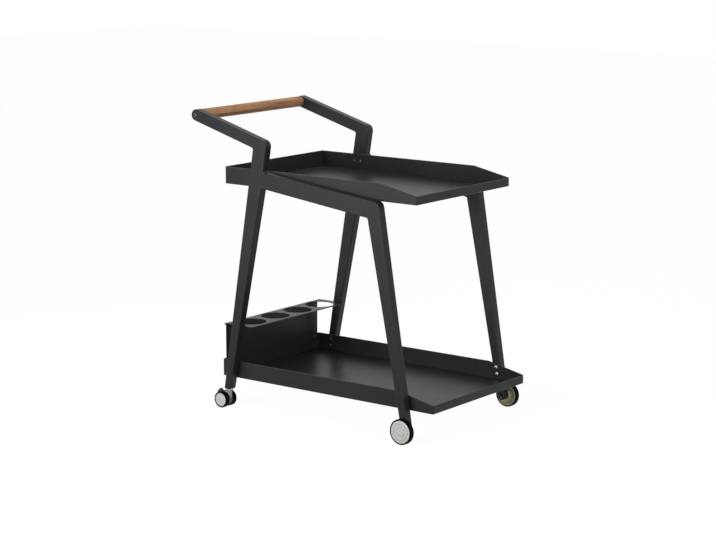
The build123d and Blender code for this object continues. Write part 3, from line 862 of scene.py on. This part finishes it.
def button_head(spot, facing, radius, height):
    """A dome turned round its axis, with a hexagon let into its top."""
    size = details()
    shape = Shape()
    mesh = shape.mesh
    steps, sides = 24, 6
    corner = size.socket / math.cos(math.pi / sides)
    dome = [(radius * across, height * up) for across, up in DOME]
    points = [mesh.verts.new((r, 0, z)) for r, z in [(0.0, 0.0), *dome]]
    line = [mesh.edges.new(ends) for ends in zip(points, points[1:])]
    bmesh.ops.spin(mesh, geom=points + line, cent=(0, 0, 0), axis=(0, 0, 1), dvec=(0, 0, 0),
                   angle=math.tau, steps=steps, use_merge=True)
    rim = [e for e in mesh.edges if all(abs(v.co.z - height) < HAIR for v in e.verts)]
    hexagon = bmesh.ops.create_circle(mesh, segments=sides, radius=corner,
                                      matrix=Matrix.Translation((0, 0, height)))
    cut = bmesh.ops.subdivide_edges(mesh, edges=list({e for v in hexagon["verts"] for e in v.link_edges}),
                                    cuts=steps // sides - 1)
    border = [item for item in cut["geom"] if isinstance(item, bmesh.types.BMEdge)]
    bmesh.ops.bridge_loops(mesh, edges=rim + border)
    wall = bmesh.ops.extrude_edge_only(mesh, edges=border)["geom"]
    deep = [item for item in wall if isinstance(item, bmesh.types.BMVert)]
    bmesh.ops.translate(mesh, vec=(0, 0, -size.socket_depth), verts=deep)
    floor = list({e for v in deep for e in v.link_edges if all(p in deep for p in e.verts)})
    filled = bmesh.ops.edgeloop_fill(mesh, edges=floor)["faces"]
    # Painted shade: the socket's walls and floor take the dark steel
    for face in filled + [item for item in wall if isinstance(item, bmesh.types.BMFace)]:
        face.material_index = PAINTED_SHADE_INDEX
    turn = Vector((0, 0, 1)).rotation_difference(Vector(facing)).to_matrix().to_4x4()
    bmesh.ops.transform(mesh, matrix=Matrix.Translation(spot) @ turn, verts=mesh.verts[:])
    return shape


class CART_OT_small_steel(bpy.types.Operator):
    """Round the axle nuts and give the axles, pins, washers and hidden nuts their steel"""

    bl_idname = "cart.small_steel"
    bl_label = "Nuts, Axles and Pins"

    def execute(self, context):
        axle_nuts("front_axle_nuts")
        coat(kept(satin_steel), *[name for name, slot in SLOTS.items() if slot == "steel"
                                  and name != "lower_tray_front_screws"])
        return {"FINISHED"}


def axle_nuts(node):
    """Both axle nuts, rounded at their inner ends."""
    size = details()
    low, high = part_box(node)
    spot = middle(node)
    corner, depth = (high[0] - low[0]) / 2, size.nut_height
    inside, centre = high[1] - depth, high[1] - depth / 2
    shape = Shape()
    for side in SIDES.values():
        nut = Shape()
        place = Matrix.Translation((spot.x, side * centre, spot.z)) @ Matrix.Rotation(math.pi / 2, 4, "X")
        bmesh.ops.create_cone(nut.mesh, cap_ends=True, segments=6, radius1=corner, radius2=corner,
                              depth=depth, matrix=place)
        nut.round(nut.edges_at(side * inside), size.nut_edge, segments=2)
        shape.join(nut)
    shape.piece("axle_nuts", "frame", SLOTS[node], [kept(blackened_and_shaded_steel)], node)


class CART_OT_stage(bpy.types.Operator):
    """Make the white studio, the lamps and the camera"""

    bl_idname = "cart.stage"
    bl_label = "Stage"

    def execute(self, context):
        make_floor()
        light_world()
        make_lamps()
        make_camera()
        context.scene.view_settings.view_transform = "Standard"
        return {"FINISHED"}


def seen_directly(tree):
    """The share of a ray that comes from the camera or from a mirror or glass."""
    path = tree.nodes.new("ShaderNodeLightPath")
    first = tree.nodes.new("ShaderNodeMath")
    first.operation = "MAXIMUM"
    tree.links.new(path.outputs["Is Camera Ray"], first.inputs[0])
    tree.links.new(path.outputs["Is Glossy Ray"], first.inputs[1])
    both = tree.nodes.new("ShaderNodeMath")
    both.operation = "MAXIMUM"
    tree.links.new(first.outputs[0], both.inputs[0])
    tree.links.new(path.outputs["Is Transmission Ray"], both.inputs[1])
    return both.outputs[0]


def make_floor():
    """A pale floor that looks white and keeps a faint shadow."""
    stage = bpy.context.scene.cart_stage
    shade = stage.floor_shade
    shape = bmesh.new()
    bmesh.ops.create_grid(shape, x_segments=1, y_segments=1, size=FLOOR_REACH)
    mesh = bpy.data.meshes.new("studio_floor")
    shape.to_mesh(mesh)
    shape.free()
    floor = bpy.data.objects.new("studio_floor", mesh)
    bpy.context.scene.collection.objects.link(floor)
    material = bpy.data.materials.new("studio_floor")
    material.use_nodes = True
    tree = material.node_tree
    tree.nodes.clear()
    matt = tree.nodes.new("ShaderNodeBsdfDiffuse")
    matt.inputs["Color"].default_value = (shade, shade, shade, 1.0)
    glow = tree.nodes.new("ShaderNodeEmission")
    glow.inputs["Strength"].default_value = stage.floor_glow
    both = tree.nodes.new("ShaderNodeAddShader")
    pick = tree.nodes.new("ShaderNodeMixShader")
    result = tree.nodes.new("ShaderNodeOutputMaterial")
    tree.links.new(matt.outputs[0], both.inputs[0])
    tree.links.new(glow.outputs[0], both.inputs[1])
    tree.links.new(seen_directly(tree), pick.inputs[0])
    tree.links.new(matt.outputs[0], pick.inputs[1])
    tree.links.new(both.outputs[0], pick.inputs[2])
    tree.links.new(pick.outputs[0], result.inputs["Surface"])
    mesh.materials.append(material)


def light_world():
    """Even light all round, and plain white where the world is seen directly."""
    world = bpy.data.worlds.new("studio_world")
    bpy.context.scene.world = world
    world.use_nodes = True
    tree = world.node_tree
    tree.nodes.clear()
    even = tree.nodes.new("ShaderNodeBackground")
    even.inputs["Strength"].default_value = bpy.context.scene.cart_stage.ambient
    even.inputs["Color"].default_value = (1.0, 1.0, 1.0, 1.0)
    white = tree.nodes.new("ShaderNodeBackground")
    white.inputs["Color"].default_value = (1.0, 1.0, 1.0, 1.0)
    pick = tree.nodes.new("ShaderNodeMixShader")
    result = tree.nodes.new("ShaderNodeOutputWorld")
    tree.links.new(seen_directly(tree), pick.inputs[0])
    tree.links.new(even.outputs[0], pick.inputs[1])
    tree.links.new(white.outputs[0], pick.inputs[2])
    tree.links.new(pick.outputs[0], result.inputs["Surface"])


def make_lamps():
    """A key lamp on the right, a fill low in front, and narrow lamps for the push bar and the wheels."""
    stage = bpy.context.scene.cart_stage
    make_lamp("key_lamp", stage.key, size=(1.2, 1.2), spread=60,
              spot=(-0.5, -2.3, 1.0), aim=(0.0, 0.0, 0.9))
    make_lamp("fill_lamp", stage.fill, size=(1.5, 1.5), spread=180,
              spot=(2.9, -0.8, 0.6), aim=(0.0, 0.0, 0.5))
    make_lamp("handle_lamp", stage.handle, size=(0.6, 0.6), spread=36,
              spot=(0.3, 0.0, 2.1), aim=(-0.42, 0.07, 0.9))
    make_lamp("wheel_lamp", stage.wheels, size=(1.0, 0.1), spread=50,
              spot=(0.0, -2.0, 0.1), aim=(0.0, 0.0, 0.04))


def make_lamp(name, power, size, spread, spot, aim):
    """A rectangular lamp at a spot, aimed at a point; its spread is in degrees."""
    lamp = bpy.data.lights.new(name, "AREA")
    lamp.energy = power
    lamp.shape = "RECTANGLE"
    lamp.size, lamp.size_y = size
    lamp.spread = math.radians(spread)
    holder = bpy.data.objects.new(name, lamp)
    holder.location = spot
    holder.rotation_mode = "QUATERNION"
    holder.rotation_quaternion = (Vector(aim) - Vector(spot)).to_track_quat("-Z", "Y")
    bpy.context.scene.collection.objects.link(holder)


def make_camera():
    """The camera at the photograph's viewing angle."""
    stage = bpy.context.scene.cart_stage
    turn, rise = stage.azimuth, stage.elevation
    flat = math.cos(rise)
    back = Vector((math.sin(turn) * flat, -math.cos(turn) * flat, math.sin(rise)))
    lens = bpy.data.cameras.new("camera")
    lens.lens = stage.lens
    lens.sensor_width = SENSOR_WIDTH
    holder = bpy.data.objects.new("camera", lens)
    holder.location = Vector(stage.target) + back * stage.distance
    holder.rotation_mode = "QUATERNION"
    holder.rotation_quaternion = (-back).to_track_quat("-Z", "Y")
    bpy.context.scene.collection.objects.link(holder)
    bpy.context.scene.camera = holder


OPERATORS = (CART_OT_side_frames, CART_OT_trays, CART_OT_push_bar, CART_OT_front_wheels, CART_OT_casters,
             CART_OT_brake_pedals, CART_OT_screws, CART_OT_small_steel, CART_OT_stage)


class CART_PT_looks(bpy.types.Panel):
    """The cart's pieces, in the 3D view's sidebar"""

    bl_idname = "CART_PT_looks"
    bl_label = "Serving Cart"
    bl_space_type = "VIEW_3D"
    bl_region_type = "UI"
    bl_category = "Serving Cart"

    def draw(self, context):
        for group in (context.scene.cart_finishes, context.scene.cart_details, context.scene.cart_stage):
            for name in group.__annotations__:
                self.layout.prop(group, name)
        for operator in OPERATORS:
            self.layout.operator(operator.bl_idname)


CLASSES = (CartFinishes, CartDetails, CartStage, *OPERATORS, CART_PT_looks)


def register():
    """Adds the classes and the scene's properties."""
    for kind in CLASSES:
        bpy.utils.register_class(kind)
    bpy.types.Scene.cart_finishes = PointerProperty(type=CartFinishes)
    bpy.types.Scene.cart_details = PointerProperty(type=CartDetails)
    bpy.types.Scene.cart_stage = PointerProperty(type=CartStage)


def unregister():
    """Takes them away again."""
    del bpy.types.Scene.cart_stage
    del bpy.types.Scene.cart_details
    del bpy.types.Scene.cart_finishes
    for kind in reversed(CLASSES):
        bpy.utils.unregister_class(kind)


def main():
    """Makes every piece."""
    register()
    bpy.ops.cart.side_frames()
    bpy.ops.cart.trays()
    bpy.ops.cart.push_bar()
    bpy.ops.cart.front_wheels()
    bpy.ops.cart.casters()
    bpy.ops.cart.brake_pedals()
    bpy.ops.cart.screws()
    bpy.ops.cart.small_steel()
    bpy.ops.cart.stage()


if __name__ == "__main__":
    main()
